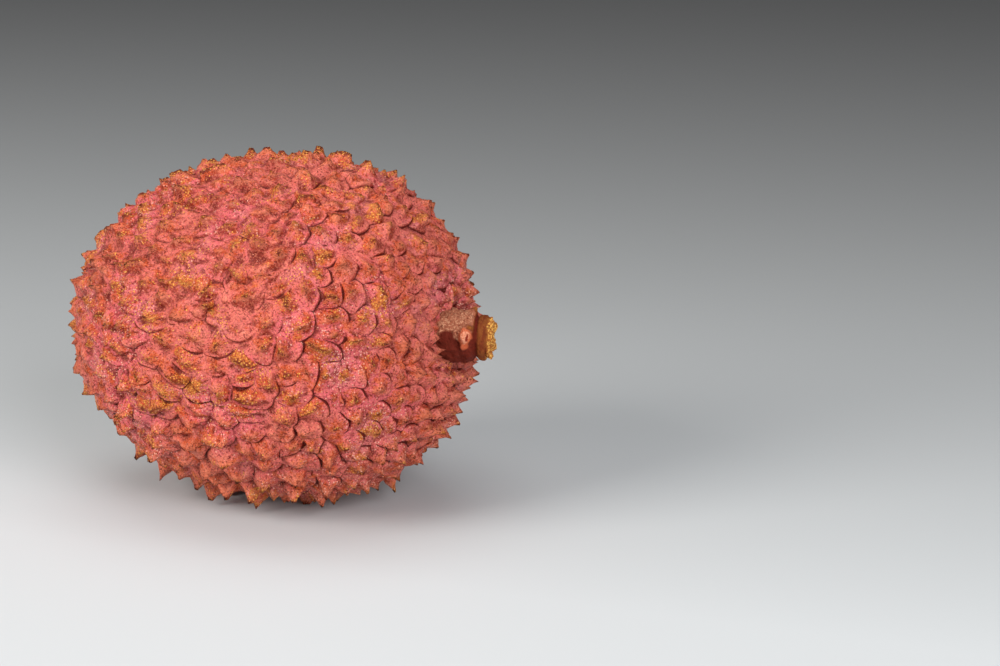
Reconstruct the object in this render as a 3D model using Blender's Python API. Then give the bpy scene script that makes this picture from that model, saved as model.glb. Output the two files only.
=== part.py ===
"""One whole lychee fruit, picked and lying on its side, with the short woody stub of its stalk.

The fruit is one solid: a blunt egg whose leathery rind is raised all over into pointed scales. The
scales are the cells of a spherical Voronoi pattern around seeded centres, and each one rises from
the thin creases that part it from its neighbours, over a shoulder, to its own tip. The stub stands
in the dimple at the stem end, with what is left of the calyx around its foot and a torn outer face.

Row frame, in metres: +X runs from the blossom end to the stalk, +Z is up, and the origin is on the
surface that the fruit lies on, under the middle of its box.
"""

import math

import bmesh
import bpy
import numpy as np
from mathutils import Matrix, Vector

MM = 0.001

# Body, measured at the creases. The two ends share the widest circle, at x = 0 until the last shift.
BODY_RADIUS = 14.2 * MM
STEM_REACH = 15.2 * MM
TIP_REACH = 18.9 * MM
STEM_FULLNESS = 2.4
TIP_FULLNESS = 2.05
AXIS_TILT = math.radians(2.5)

# The dimple that the stalk stands in: a shallow saddle with a narrow pit in its middle.
SADDLE_DEPTH = 0.7 * MM
SADDLE_RADIUS = 6.0 * MM
PIT_DEPTH = 1.6 * MM
PIT_RADIUS = 2.75 * MM
PIT_STEEPNESS = 4

# Two low lobes and a faint one-sided swelling keep the body from being perfectly round.
LOBE_SHARE = 0.012
SWELL_SHARE = 0.010
LOBE_TURN = 0.6
SWELL_TURN = 2.2

# Scales.
SEED = 20
SPACING_MIDDLE = 2.95 * MM
SPACING_STEM = 1.45 * MM
SPACING_TIP = 2.0 * MM
STEM_ZONE = math.radians(42)
TIP_ZONE = math.radians(48)
HEXAGON_SHARE = math.sqrt(3) / 2
GOLDEN_ANGLE = math.pi * (3 - math.sqrt(5))
JITTER = 0.50
RELAX_ROUNDS = 2
RELAX_SHARE = 0.42
SHORTEST_CREASE = 0.16 * MM

TIP_HEIGHT = 1.05 * MM
TIP_HEIGHT_SPREAD = 0.42
TIP_OFFSET = 0.16
RIDGE_LENGTH = 1.10 * MM
RIDGE_SHORTEST = 0.14 * MM
RIDGE_SLOPE = 0.10
RIDGE_SWING = math.radians(35)
SHOULDER_SHARE = 0.58
SHOULDER_HEIGHT = 0.52
SHOULDER_SPREAD = 0.20
SHOULDER_LOSS = 0.14
UNDERSIDE_GAIN = 0.25
TOP_LOSS = 0.18
END_HEIGHT_SHARE = 0.62
PIT_SMOOTH_RADIUS = 3.4 * MM
PIT_BARE_RADIUS = 2.2 * MM

# The spot that the fruit rests on: the lowest tips are pressed flat by this much.
PRESSED = 0.68 * MM

# Stub of the stalk, along its own axis from its foot: root, fleshy collar, neck and torn end.
STUB_GAP = 0.4 * MM
STUB_LEAN = math.radians(4)
STUB_SIDES = 24
STUB_PROFILE = (
    (0.00 * MM, 0.70 * MM),
    (0.25 * MM, 1.25 * MM),
    (0.50 * MM, 1.52 * MM),
    (0.85 * MM, 1.68 * MM),
    (1.35 * MM, 1.76 * MM),
    (1.75 * MM, 1.86 * MM),
    (2.10 * MM, 2.02 * MM),
    (2.50 * MM, 2.14 * MM),
    (3.00 * MM, 2.18 * MM),
    (3.40 * MM, 2.12 * MM),
    (3.65 * MM, 1.94 * MM),
    (3.82 * MM, 1.74 * MM),
    (3.95 * MM, 1.70 * MM),
    (4.10 * MM, 1.84 * MM),
    (4.40 * MM, 1.92 * MM),
    (4.72 * MM, 1.90 * MM),
    (4.84 * MM, 1.70 * MM),
    (5.00 * MM, 1.74 * MM),
    (5.25 * MM, 1.55 * MM),
    (5.35 * MM, 1.10 * MM),
    (5.15 * MM, 0.60 * MM),
)
STUB_FACE_HEIGHT = 5.22 * MM
STUB_ROUGHNESS = 0.11 * MM
TORN_FROM = 4.78 * MM
TORN_ROUGHNESS = 0.22 * MM

# Above its root the stub bends towards +Y.
BEND_FROM = 1.0 * MM
BEND_LENGTH = 1.3 * MM
BEND_ANGLE = math.radians(13)

# Remains of the calyx: short lobes that stand out from the collar.
CALYX_LOBES = 5
CALYX_HEIGHT = 3.45 * MM
CALYX_LENGTH = 0.42 * MM
CALYX_SHARPNESS = 3
CALYX_SPREAD = 0.35 * MM
CALYX_TURN = math.radians(20)

# The seed-bud that never grew: a wart on the collar's side.
WART_TURN = math.radians(-101)
WART_ARC = math.radians(21)
WART_HEIGHT = 3.05 * MM
WART_SPREAD = 0.50 * MM
WART_REACH = 0.75 * MM

FRUIT_COLOUR = (0.62, 0.15, 0.12, 1.0)
STUB_COLOUR = (0.26, 0.13, 0.05, 1.0)


def clear_scene():
    """Removes whatever the scene holds."""
    for obj in list(bpy.data.objects):
        bpy.data.objects.remove(obj)


def unit(vectors):
    """The same directions at length 1."""
    return vectors / np.linalg.norm(vectors, axis=-1, keepdims=True)


def smooth_step(low, high, values):
    """0 at or below low, 1 at or above high, and an S-curve between."""
    share = np.clip((values - low) / (high - low), 0, 1)
    return share * share * (3 - 2 * share)


def skin(directions):
    """Points on the crease surface, one for each unit vector, before the fruit is tilted."""
    along, across = directions[:, 0], np.linalg.norm(directions[:, 1:], axis=1)
    fullness = np.where(along > 0, STEM_FULLNESS, TIP_FULLNESS)
    reach = np.where(along > 0, STEM_REACH, TIP_REACH)
    stretch = (np.abs(along) ** fullness + across**fullness) ** (-1 / fullness)
    turn = np.arctan2(directions[:, 2], directions[:, 1])
    lobes = LOBE_SHARE * np.cos(2 * (turn - LOBE_TURN)) + SWELL_SHARE * np.cos(turn - SWELL_TURN)
    girth = BODY_RADIUS * stretch * (1 + lobes * across**2)
    radius = girth * across
    dimple = SADDLE_DEPTH * np.exp(-((radius / SADDLE_RADIUS) ** 2))
    dimple += PIT_DEPTH * np.exp(-((radius / PIT_RADIUS) ** PIT_STEEPNESS))
    x = reach * stretch * along - np.where(along > 0, dimple, 0)
    return np.stack([x, girth * directions[:, 1], girth * directions[:, 2]], axis=1)


def skin_normals(directions):
    """Outward unit normals of the crease surface, by small steps to both sides."""
    step = 1e-3
    helper = np.where(np.abs(directions[:, :1]) < 0.9, [[1.0, 0, 0]], [[0, 1.0, 0]])
    first = unit(np.cross(directions, helper))
    second = np.cross(directions, first)
    slope_a = skin(unit(directions + step * first)) - skin(unit(directions - step * first))
    slope_b = skin(unit(directions + step * second)) - skin(unit(directions - step * second))
    return unit(np.cross(slope_a, slope_b))


def spacing_at(polar):
    """Distance between scales at an angle from the stalk: wide round the middle, close at both ends."""
    stem = (SPACING_STEM - SPACING_MIDDLE) * np.exp(-((polar / STEM_ZONE) ** 2))
    tip = (SPACING_TIP - SPACING_MIDDLE) * np.exp(-(((math.pi - polar) / TIP_ZONE) ** 2))
    return SPACING_MIDDLE + stem + tip


def cells_of(centres):
    """The Voronoi cells of the centres on the unit sphere: (corners, corner indices of each cell in order)."""
    hull = bmesh.new()
    for centre in centres:
        hull.verts.new(centre)
    hull.verts.index_update()
    bmesh.ops.convex_hull(hull, input=hull.verts)
    bmesh.ops.triangulate(hull, faces=hull.faces)
    triangles = np.array([[v.index for v in face.verts] for face in hull.faces])
    hull.free()
    a, b, c = (centres[triangles[:, i]] for i in range(3))
    corners = unit(np.cross(b - a, c - a))
    corners *= np.sign(np.sum(corners * a, axis=1, keepdims=True))
    owners = [[] for _ in centres]
    for index, triangle in enumerate(triangles):
        for owner in triangle:
            owners[owner].append(index)
    cells = []
    for centre, found in zip(centres, owners):
        axis = Vector(centre)
        side = axis.orthogonal().normalized()
        other = axis.cross(side)
        around = [math.atan2(other.dot(corners[i]), side.dot(corners[i])) for i in found]
        cells.append([index for _, index in sorted(zip(around, found))])
    return corners, cells


def scale_centres(draw):
    """Unit vectors towards the scales: a golden-angle spiral, shaken by seeded steps and then evened out."""
    polar = np.linspace(0, math.pi, 721)
    line = skin(np.stack([np.cos(polar), np.sin(polar), 0 * polar], axis=1))
    length = np.linalg.norm(np.diff(line, axis=0), axis=1)
    girth = math.pi * (line[1:, 1] + line[:-1, 1])
    spacing = spacing_at((polar[1:] + polar[:-1]) / 2)
    held = np.concatenate([[0], np.cumsum(girth * length / (HEXAGON_SHARE * spacing**2))])
    count = int(held[-1])
    polar = np.interp((np.arange(count) + 0.5) / count * held[-1], held, polar)
    turn = np.arange(count) * GOLDEN_ANGLE
    centres = np.stack([np.cos(polar), np.sin(polar) * np.cos(turn), np.sin(polar) * np.sin(turn)], axis=1)
    step = JITTER * spacing_at(polar) / BODY_RADIUS
    centres = unit(centres + step[:, None] * draw.uniform(-1, 1, (count, 3)))
    for _ in range(RELAX_ROUNDS):
        corners, cells = cells_of(centres)
        middles = unit(np.array([corners[cell].mean(axis=0) for cell in cells]))
        centres = unit(centres + RELAX_SHARE * (middles - centres))
    return centres


def tip_heights(centres, draw):
    """Height of each tip over the creases: taller underneath, lower on top and towards both ends."""
    spread = 1 + TIP_HEIGHT_SPREAD * draw.uniform(-1, 1, len(centres))
    under = UNDERSIDE_GAIN * smooth_step(0.1, 0.9, -centres[:, 2])
    above = TOP_LOSS * smooth_step(0.1, 0.9, centres[:, 2])
    spacing = spacing_at(np.arccos(np.clip(centres[:, 0], -1, 1)))
    crowding = END_HEIGHT_SHARE + (1 - END_HEIGHT_SHARE) * spacing / SPACING_MIDDLE
    return TIP_HEIGHT * spread * (1 + under - above) * crowding


def pit_calm(points):
    """0 in the pit of the dimple, where the rind is bare, and 1 outside it."""
    radius = np.linalg.norm(points[:, 1:], axis=1)
    calm = smooth_step(PIT_BARE_RADIUS, PIT_SMOOTH_RADIUS, radius)
    return np.where(points[:, 0] > 0, calm, 1)


def raised(directions, heights):
    """Points at the given heights over the crease surface."""
    base = skin(directions)
    lift = heights * pit_calm(base)
    return base + lift[:, None] * skin_normals(directions)


def ridge_steps(centres, draw):
    """Half of each tip's ridge as a step on the unit sphere: along the fruit, and shortest at its ends."""
    lengthwise = unit(np.cross(np.cross(centres, [[1.0, 0, 0]]), centres))
    swing = RIDGE_SWING * draw.uniform(-1, 1, (len(centres), 1))
    heading = np.cos(swing) * lengthwise + np.sin(swing) * np.cross(centres, lengthwise)
    middle = 1 - np.abs(centres[:, :1]) ** 1.5
    length = RIDGE_SHORTEST + RIDGE_LENGTH * middle * draw.uniform(0, 1, (len(centres), 1)) ** 2
    return heading * length / (2 * BODY_RADIUS)


def fruit_mesh():
    """The fruit's mesh before it is tilted: each scale has shoulders between its creases and its ridge."""
    draw = np.random.default_rng(SEED)
    centres = scale_centres(draw)
    heights = tip_heights(centres, draw)
    shifts = TIP_OFFSET * draw.uniform(-1, 1, (len(centres), 3))
    shoulders = SHOULDER_HEIGHT + SHOULDER_SPREAD * draw.uniform(-1, 1, len(centres))
    shoulders -= SHOULDER_LOSS * smooth_step(0, 0.8, -centres[:, 2])
    ridges = ridge_steps(centres, draw)
    slopes = 1 + RIDGE_SLOPE * draw.uniform(-1, 1, len(centres))
    corners, cells = cells_of(centres)

    mesh = bmesh.new()
    plan = [mesh.verts.new(corner * BODY_RADIUS) for corner in corners]
    owner = mesh.faces.layers.int.new("scale")
    for index, cell in enumerate(cells):
        mesh.faces.new([plan[i] for i in cell])[owner] = index
    bmesh.ops.remove_doubles(mesh, verts=mesh.verts, dist=SHORTEST_CREASE)
    ring_plans = {face: (face[owner], list(face.verts)) for face in mesh.faces}

    crease_verts = list(mesh.verts)
    directions = unit(np.array([v.co[:] for v in crease_verts]))
    for vert, point in zip(crease_verts, raised(directions, np.zeros(len(directions)))):
        vert.co = point
    direction_of = dict(zip(crease_verts, directions))
    for face, (index, ring) in ring_plans.items():
        rim = np.array([direction_of[v] for v in ring])
        size = np.linalg.norm(rim - centres[index], axis=1).mean()
        tip = unit(centres[index] + shifts[index] * size)
        shoulder = unit(tip + SHOULDER_SHARE * (rim - tip))
        ends = unit(tip + np.outer([1, -1], ridges[index]))
        shares = [shoulders[index]] * len(ring) + [slopes[index], 2 - slopes[index]]
        lift = heights[index] * np.array(shares)
        points = raised(np.vstack([shoulder, ends]), lift)
        verts = [mesh.verts.new(point) for point in points]
        summits = verts[-2:]
        nearest = [summits[0] if (place - tip) @ ridges[index] > 0 else summits[1] for place in rim]
        mesh.faces.remove(face)
        for i, vert in enumerate(ring):
            j = (i + 1) % len(ring)
            mesh.faces.new((vert, ring[j], verts[j], verts[i]))
            top = (nearest[j], nearest[i]) if nearest[i] != nearest[j] else (nearest[i],)
            mesh.faces.new((verts[i], verts[j], *top))
    return mesh


def stub_reach(turn, height, radius):
    """Distance of the stub's side from its axis, with the calyx lobes and the wart on its collar."""
    lobe = (0.5 + 0.5 * math.cos(CALYX_LOBES * (turn - CALYX_TURN))) ** CALYX_SHARPNESS
    level = math.exp(-(((height - CALYX_HEIGHT) / CALYX_SPREAD) ** 2))
    away = math.remainder(turn - WART_TURN, math.tau) / WART_ARC
    rise = (height - WART_HEIGHT) / WART_SPREAD
    return radius + CALYX_LENGTH * lobe * level + WART_REACH * math.exp(-(away**2) - rise**2)


def bent(x, y, height):
    """Where a point of the upright stub lies once the stub is bent."""
    over = max(height - BEND_FROM, 0)
    turn = BEND_ANGLE * min(over / BEND_LENGTH, 1)
    straight = max(over - BEND_LENGTH, 0)
    radius = BEND_LENGTH / BEND_ANGLE
    aside = radius * (1 - math.cos(turn)) + straight * math.sin(turn)
    along = radius * math.sin(turn) + straight * math.cos(turn)
    return x, aside + y * math.cos(turn), height - over + along - y * math.sin(turn)


def stub_mesh():
    """The stalk's stub, standing on z = 0: turned rings roughened by seeded steps."""
    draw = np.random.default_rng(SEED + 1)
    mesh = bmesh.new()
    rings = []
    for height, radius in STUB_PROFILE:
        rough = TORN_ROUGHNESS if height > TORN_FROM else STUB_ROUGHNESS
        ring = []
        for side in range(STUB_SIDES):
            turn = math.tau * side / STUB_SIDES
            out = stub_reach(turn, height, radius) + rough * draw.uniform(-1, 1)
            lift = height + (0.5 * rough * draw.uniform(-1, 1) if height > 0 else 0)
            ring.append(mesh.verts.new(bent(out * math.cos(turn), out * math.sin(turn), lift)))
        rings.append(ring)
    for low, high in zip(rings, rings[1:]):
        for i in range(STUB_SIDES):
            j = (i + 1) % STUB_SIDES
            mesh.faces.new((low[i], low[j], high[j], high[i]))
    foot = mesh.verts.new((0, 0, 0))
    face = mesh.verts.new(bent(0, 0, STUB_FACE_HEIGHT))
    for i in range(STUB_SIDES):
        j = (i + 1) % STUB_SIDES
        mesh.faces.new((rings[0][j], rings[0][i], foot))
        mesh.faces.new((rings[-1][i], rings[-1][j], face))
    return mesh


def add_object(name, mesh, colour, roughness):
    """An object with a Principled material from a bmesh, whose faces are turned outwards."""
    bmesh.ops.recalc_face_normals(mesh, faces=mesh.faces)
    data = bpy.data.meshes.new(name)
    mesh.to_mesh(data)
    mesh.free()
    material = bpy.data.materials.new(name)
    material.use_nodes = True
    shader = material.node_tree.nodes["Principled BSDF"]
    shader.inputs["Base Color"].default_value = colour
    shader.inputs["Roughness"].default_value = roughness
    shader.inputs["Metallic"].default_value = 0.0
    data.materials.append(material)
    obj = bpy.data.objects.new(name, data)
    bpy.context.scene.collection.objects.link(obj)
    return obj


def main():
    """Builds the fruit and its stub, lays the fruit on its pressed tips and sets the origin under its box."""
    clear_scene()
    fruit = fruit_mesh()
    tilt = Matrix.Rotation(-AXIS_TILT, 4, "Y")
    bmesh.ops.transform(fruit, matrix=tilt, verts=fruit.verts)
    lowest = min(v.co.z for v in fruit.verts)
    floor = lowest + PRESSED
    cut = bmesh.ops.bisect_plane(
        fruit,
        geom=[*fruit.verts, *fruit.edges, *fruit.faces],
        dist=1e-7,
        plane_co=(0, 0, floor),
        plane_no=(0, 0, -1),
        clear_outer=True,
    )
    rims = [e for e in cut["geom_cut"] if isinstance(e, bmesh.types.BMEdge)]
    bmesh.ops.holes_fill(fruit, edges=rims)

    stub = stub_mesh()
    foot = STEM_REACH - SADDLE_DEPTH - PIT_DEPTH + STUB_GAP
    stand = Matrix.Translation((foot, 0, 0)) @ Matrix.Rotation(math.pi / 2 + STUB_LEAN, 4, "Y")
    bmesh.ops.transform(stub, matrix=tilt @ stand, verts=stub.verts)

    points = np.array([v.co[:] for v in [*fruit.verts, *stub.verts]])
    middle = (points.min(axis=0) + points.max(axis=0)) / 2
    shift = Vector((-middle[0], -middle[1], -floor))
    for mesh in (fruit, stub):
        bmesh.ops.translate(mesh, vec=shift, verts=mesh.verts)
    add_object("fruit", fruit, FRUIT_COLOUR, 0.5)
    add_object("stalk_stub", stub, STUB_COLOUR, 0.85)


main()
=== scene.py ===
"""The looks of one whole lychee that lies on its side: its scaly rind and the stub of its stalk.

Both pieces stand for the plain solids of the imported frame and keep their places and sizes. The rind
repeats the solids' pattern of scales, from the same named values and the same seed, and raises each
scale in a fine mesh. All lengths are metres in the row frame: +X towards the stalk, +Z up.
"""

import logging
import math
from dataclasses import dataclass, field
from enum import Enum
from functools import partial

import bmesh
import bpy
import numpy as np
from mathutils import Matrix, Vector, noise


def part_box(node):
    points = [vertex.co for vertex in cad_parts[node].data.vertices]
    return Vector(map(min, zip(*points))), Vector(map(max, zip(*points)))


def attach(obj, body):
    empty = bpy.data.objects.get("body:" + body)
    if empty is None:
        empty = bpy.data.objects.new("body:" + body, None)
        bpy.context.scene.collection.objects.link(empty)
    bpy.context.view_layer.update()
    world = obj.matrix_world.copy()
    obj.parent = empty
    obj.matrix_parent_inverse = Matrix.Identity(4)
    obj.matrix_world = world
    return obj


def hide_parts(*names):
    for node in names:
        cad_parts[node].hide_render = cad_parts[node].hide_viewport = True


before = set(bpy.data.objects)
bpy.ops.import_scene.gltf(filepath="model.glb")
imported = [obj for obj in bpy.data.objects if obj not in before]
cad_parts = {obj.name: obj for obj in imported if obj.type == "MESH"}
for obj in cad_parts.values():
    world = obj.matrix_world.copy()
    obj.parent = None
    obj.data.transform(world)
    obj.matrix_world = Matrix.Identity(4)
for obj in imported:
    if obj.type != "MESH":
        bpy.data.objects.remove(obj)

MM = 0.001
LOG = logging.getLogger("lychee")


# --- Small helpers -------------------------------------------------------------------------------


def unit(vectors: np.ndarray) -> np.ndarray:
    """The same directions at length 1."""
    return vectors / np.linalg.norm(vectors, axis=-1, keepdims=True)


def smooth_step(low: float, high: float, values: np.ndarray) -> np.ndarray:
    """0 at or below low, 1 at or above high, and an S-curve between."""
    share = np.clip((values - low) / (high - low), 0, 1)
    return share * share * (3 - 2 * share)


def waves(points: np.ndarray, wavelength: float, seed: int) -> np.ndarray:
    """Smooth noise in space.

    Args:
        points: One row for each point, in metres.
        wavelength: Distance over which the noise changes, in metres.
        seed: Picks another part of the same noise.

    Returns:
        One value for each point, from about -1 to 1.
    """
    shifted = points / wavelength + 17.31 * seed
    return 1.6 * np.array([noise.noise(point) for point in shifted.tolist()])


def linear(hex_colour: str) -> tuple[float, float, float, float]:
    """The linear RGBA of an sRGB hex colour such as "#C9585C"."""
    values = [int(hex_colour[i : i + 2], 16) / 255 for i in (1, 3, 5)]
    return (*(v / 12.92 if v <= 0.04045 else ((v + 0.055) / 1.055) ** 2.4 for v in values), 1.0)


def add_node(
    tree: bpy.types.NodeTree,
    kind: str,
    inputs: dict[int | str, object],
    out: int | str = 0,
    **settings: object,
) -> bpy.types.NodeSocket:
    """Adds a shader node to a tree.

    Args:
        tree: The node tree.
        kind: The node's type name after "ShaderNode".
        inputs: Input name or index to a value, or to the output socket that feeds it.
        out: Which output is wanted.
        **settings: Properties of the node itself.

    Returns:
        The wanted output socket.
    """
    node = tree.nodes.new("ShaderNode" + kind)
    for name, value in settings.items():
        setattr(node, name, value)
    for key, value in inputs.items():
        if isinstance(value, bpy.types.NodeSocket):
            tree.links.new(value, node.inputs[key])
        else:
            node.inputs[key].default_value = value
    return node.outputs[out]


def add_mesh(
    name: str, points: np.ndarray, faces: list[tuple[int, ...]], material: bpy.types.Material
) -> bpy.types.Object:
    """Makes a smooth-shaded mesh object.

    Args:
        name: The piece's name.
        points: Its vertices.
        faces: Its faces, as vertex indices in order round each face.
        material: Its one material.

    Returns:
        The object, linked to the scene.
    """
    data = bpy.data.meshes.new(name)
    data.from_pydata(points.tolist(), [], faces)
    data.shade_smooth()
    data.materials.append(material)
    piece = bpy.data.objects.new(name, data)
    bpy.context.scene.collection.objects.link(piece)
    return piece


def paint(piece: bpy.types.Object, name: str, values: np.ndarray) -> None:
    """Stores values on a piece's vertices for its material to read.

    Args:
        piece: The mesh object.
        name: The name that the material reads them by.
        values: One number, or one row of three, for each vertex.
    """
    kind, key = ("FLOAT_VECTOR", "vector") if values.ndim == 2 else ("FLOAT", "value")
    attribute = piece.data.attributes.new(name, kind, "POINT")
    attribute.data.foreach_set(key, values.astype(np.float32).ravel())


# --- Finishes ------------------------------------------------------------------------------------


class Growth(Enum):
    """How a coat's share grows between the values where it begins and where it is full."""

    SMOOTH = "SMOOTHSTEP"
    EVEN = "LINEAR"


class Finish:
    """A Principled material under construction: coats of colour, one over the other, and bumps."""

    def __init__(self, name: str, first: str, roughness: float, ior: float) -> None:
        """Starts a material with one colour all over.

        Args:
            name: The material's name.
            first: Its first coat's sRGB hex colour.
            roughness: Its mean roughness, from 0 to 1.
            ior: Its index of refraction.
        """
        self.material = bpy.data.materials.new(name)
        self.material.use_nodes = True
        self.tree = self.material.node_tree
        self.shader = self.tree.nodes["Principled BSDF"]
        self.shader.inputs["Roughness"].default_value = roughness
        self.shader.inputs["IOR"].default_value = ior
        self.add = partial(add_node, self.tree)
        self.place = self.add("TexCoord", {}, "Object")
        self.colour = linear(first)

    def coat(
        self,
        colour: str,
        pattern: bpy.types.NodeSocket,
        start: float,
        end: float,
        most: float = 1.0,
        growth: Growth = Growth.SMOOTH,
    ) -> None:
        """Lays a colour over the last one wherever a pattern is high.

        Args:
            colour: The coat's sRGB hex colour.
            pattern: The socket of the pattern.
            start: The pattern's value where the coat begins to show.
            end: The value from which it shows in full. An end below the start turns the
                pattern round.
            most: How much it covers there.
            growth: How its share grows between the two.
        """
        shares = {0: pattern, 1: min(start, end), 2: max(start, end), 3: 0.0, 4: most}
        if end < start:
            shares.update({3: most, 4: 0.0})
        share = self.add("MapRange", shares, interpolation_type=growth.value)
        mixed = {0: share, 6: self.colour, 7: linear(colour)}
        self.colour = self.add("Mix", mixed, 2, data_type="RGBA")

    def done(
        self, roughness: bpy.types.NodeSocket, bumps: list[tuple[bpy.types.NodeSocket, float]]
    ) -> bpy.types.Material:
        """Links colour, roughness and bumps to the shader.

        Args:
            roughness: The socket of the roughness.
            bumps: A pattern's socket and a depth in metres for each. A high pattern raises the
                surface.

        Returns:
            The finished material.
        """
        normal = self.add("NewGeometry", {}, "Normal")
        for pattern, depth in bumps:
            relief = {"Height": pattern, "Distance": depth, "Strength": 1.0, "Normal": normal}
            normal = self.add("Bump", relief)
        self.tree.links.new(self.colour, self.shader.inputs["Base Color"])
        self.tree.links.new(roughness, self.shader.inputs["Roughness"])
        self.tree.links.new(normal, self.shader.inputs["Normal"])
        return self.material


@dataclass(frozen=True)
class LycheeRind:
    """Fresh lychee pericarp: thin, dry leather, pink where smooth and corky on the scale tips.

    The eye sees dull salmon skin with a faint wax gloss, thin dark creases, orange-brown points,
    and separate ochre and straw cork grains round the points. Shade is painted into the creases,
    hollows, crest undersides and granule gaps, and highlight onto edges, grains and granule tops.
    """

    skin: str = "#D8685E"
    flush: str = "#DA6068"
    rust: str = "#CE684E"
    mauve: str = "#CC7476"
    frost: str = "#F6B8A4"
    # Painted shade: dark lines in the creases, under the scales' free edges.
    crease: str = "#580A00"
    # Painted shade in hollows.
    hollow_shade: str = "#6A1202"
    # Painted highlight on edges, grains and granule tops.
    ridge: str = "#EC8A6A"
    # Painted shade under crests.
    shade: str = "#861E04"
    tip: str = "#C44C1C"
    tip_core: str = "#7A2812"
    cork: str = "#D8802C"
    straw: str = "#F4BE68"
    # Dark specks, and painted shade between the granules.
    speck_and_gap_shade: str = "#6E1606"
    scurf: str = "#C2702E"
    bald: str = "#C4806C"
    bald_grain: str = "#E8B49C"
    # Dark crust below the stalk and in the pit, with painted shade.
    pit: str = "#541206"
    roughness: float = 0.34
    ior: float = 1.45
    gloss: float = 0.26
    # Real cork grains are 0.05 to 0.1 mm. They are drawn coarser, since finer ones would not show.
    grain: float = 0.13 * MM
    granule: float = 0.19 * MM
    freckle: float = 0.34 * MM
    patch: float = 3.5 * MM
    blush: float = 7.0 * MM
    pale_limit: float = -0.64
    corky_limit: float = 2.32
    sleek_calm: float = 0.75
    smoother: float = 0.14
    rougher: float = 0.20
    fibre_bump: float = 0.11 * MM
    freckle_bump: float = 0.20 * MM
    grain_bump: float = 0.10 * MM
    granule_bump: float = 0.03 * MM

    def build(self) -> bpy.types.Material:
        """Builds the rind's material.

        Returns:
            The material.
        """
        f = Finish("lychee_rind", self.skin, self.roughness, self.ior)
        f.shader.inputs["Specular IOR Level"].default_value = self.gloss
        tip, crease, cavity, hollow, bald, gloom, tint, under, sleek = (
            f.add("Attribute", {}, "Fac", attribute_name=name)
            for name in (
                "tip", "crease", "cavity", "hollow", "bald", "gloom", "tint", "under", "sleek"
            )
        )
        spoke = f.add("Attribute", {}, "Vector", attribute_name="spoke")
        rough = {"Roughness": 0.6, "Detail": 2.0}
        grains = f.add("TexNoise", {"Vector": f.place, "Scale": 1 / self.grain, **rough})
        other = {"Vector": f.place, "Scale": 0.8 / self.grain, "W": 3.0, **rough}
        specks = f.add("TexNoise", other, noise_dimensions="4D")
        freckles = f.add("TexNoise", {"Vector": f.place, "Scale": 1 / self.freckle, "Detail": 3.0})
        fibres = f.add("TexNoise", {"Vector": spoke, "Scale": 7.0, "Detail": 2.0})
        faded = f.add("MapRange", {0: hollow, 1: 0.60, 2: 0.88})
        fibres = f.add("Mix", {0: faded, 2: fibres, 3: 0.5})
        patches = f.add("TexNoise", {"Vector": f.place, "Scale": 1 / self.patch, "Detail": 3.0})
        blush = f.add("TexNoise", {"Vector": f.place, "Scale": 1 / self.blush, "Detail": 1.0})

        f.coat(self.flush, blush, 0.42, 0.60, 0.9)
        f.coat(self.rust, tint, 0.1, 0.9, 0.55)
        f.coat(self.mauve, patches, 0.52, 0.64, 0.45)

        # Orange runs down from each point along its fibres, and cork grains sit in it.
        streaks = f.add("Math", {0: fibres, 1: 0.8, 2: freckles}, operation="MULTIPLY_ADD")
        warm = f.add("Math", {0: streaks, 1: 0.9, 2: tip}, operation="MULTIPLY_ADD")
        f.coat(self.tip, warm, 0.92, 1.22, 0.9)
        # Painted shade on the undersides of crests.
        f.coat(self.shade, under, 0.15, 0.90, 0.75)
        # Painted shade in hollows, and painted highlight on convex edges.
        f.coat(self.hollow_shade, cavity, 0.12, 0.85, 0.85)
        f.coat(self.ridge, cavity, -0.10, -0.90, 0.40)
        # Painted glints: lighter dots on the fine grains.
        f.coat(self.ridge, grains, 0.57, 0.62, 0.50)
        scurfy = f.add("Math", {0: patches, 1: warm}, operation="MULTIPLY")
        f.coat(self.scurf, scurfy, 0.66, 0.86, 0.7)
        f.coat(self.speck_and_gap_shade, specks, 0.57, 0.61, 0.80)
        burnt = f.add("Math", {0: tip, 1: specks}, operation="ADD")
        f.coat(self.tip_core, burnt, 1.08, 1.22, 0.80)

        # Granules stand apart, each of one kind: cork where the scale is corky, else skin or
        # pale wax.
        gaps = f.add("TexVoronoi", {"Vector": f.place, "Scale": 1 / self.granule})
        kind = gaps.node.outputs["Color"]
        granules = f.add("MapRange", {0: gaps, 1: 0.48, 2: 0.20})
        # Painted shade between the granules, and painted highlight on their tops.
        f.coat(self.speck_and_gap_shade, gaps, 0.60, 0.95, 0.60)
        f.coat(self.ridge, granules, 0.2, 1.0, 0.40)
        pale = f.add("Math", {0: blush, 1: -1.6, 2: kind}, operation="MULTIPLY_ADD")
        pale = f.add("Math", {0: pale, 1: self.pale_limit}, operation="LESS_THAN")
        pale = f.add("Math", {0: pale, 1: granules}, operation="MULTIPLY")
        f.coat(self.frost, pale, 0.2, 1.0, 0.75)
        corky = f.add("Math", {0: tip, 1: 1.1, 2: kind}, operation="MULTIPLY_ADD")
        corky = f.add("Math", {0: patches, 1: 2.6, 2: corky}, operation="MULTIPLY_ADD")
        corky = f.add("Math", {0: tint, 1: -0.35, 2: corky}, operation="MULTIPLY_ADD")
        corky = f.add("Math", {0: sleek, 1: -0.25, 2: corky}, operation="MULTIPLY_ADD")
        corky = f.add("Math", {0: corky, 1: self.corky_limit}, operation="GREATER_THAN")
        corky = f.add("Math", {0: corky, 1: granules}, operation="MULTIPLY")
        f.coat(self.cork, corky, 0.0, 0.5, 0.85)
        f.coat(self.straw, corky, 0.6, 1.1, 0.80)
        # Painted shade: thin dark lines in the creases, mostly under the scales' free edges.
        f.coat(self.crease, crease, 0.20, 0.75, 0.95)

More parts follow.
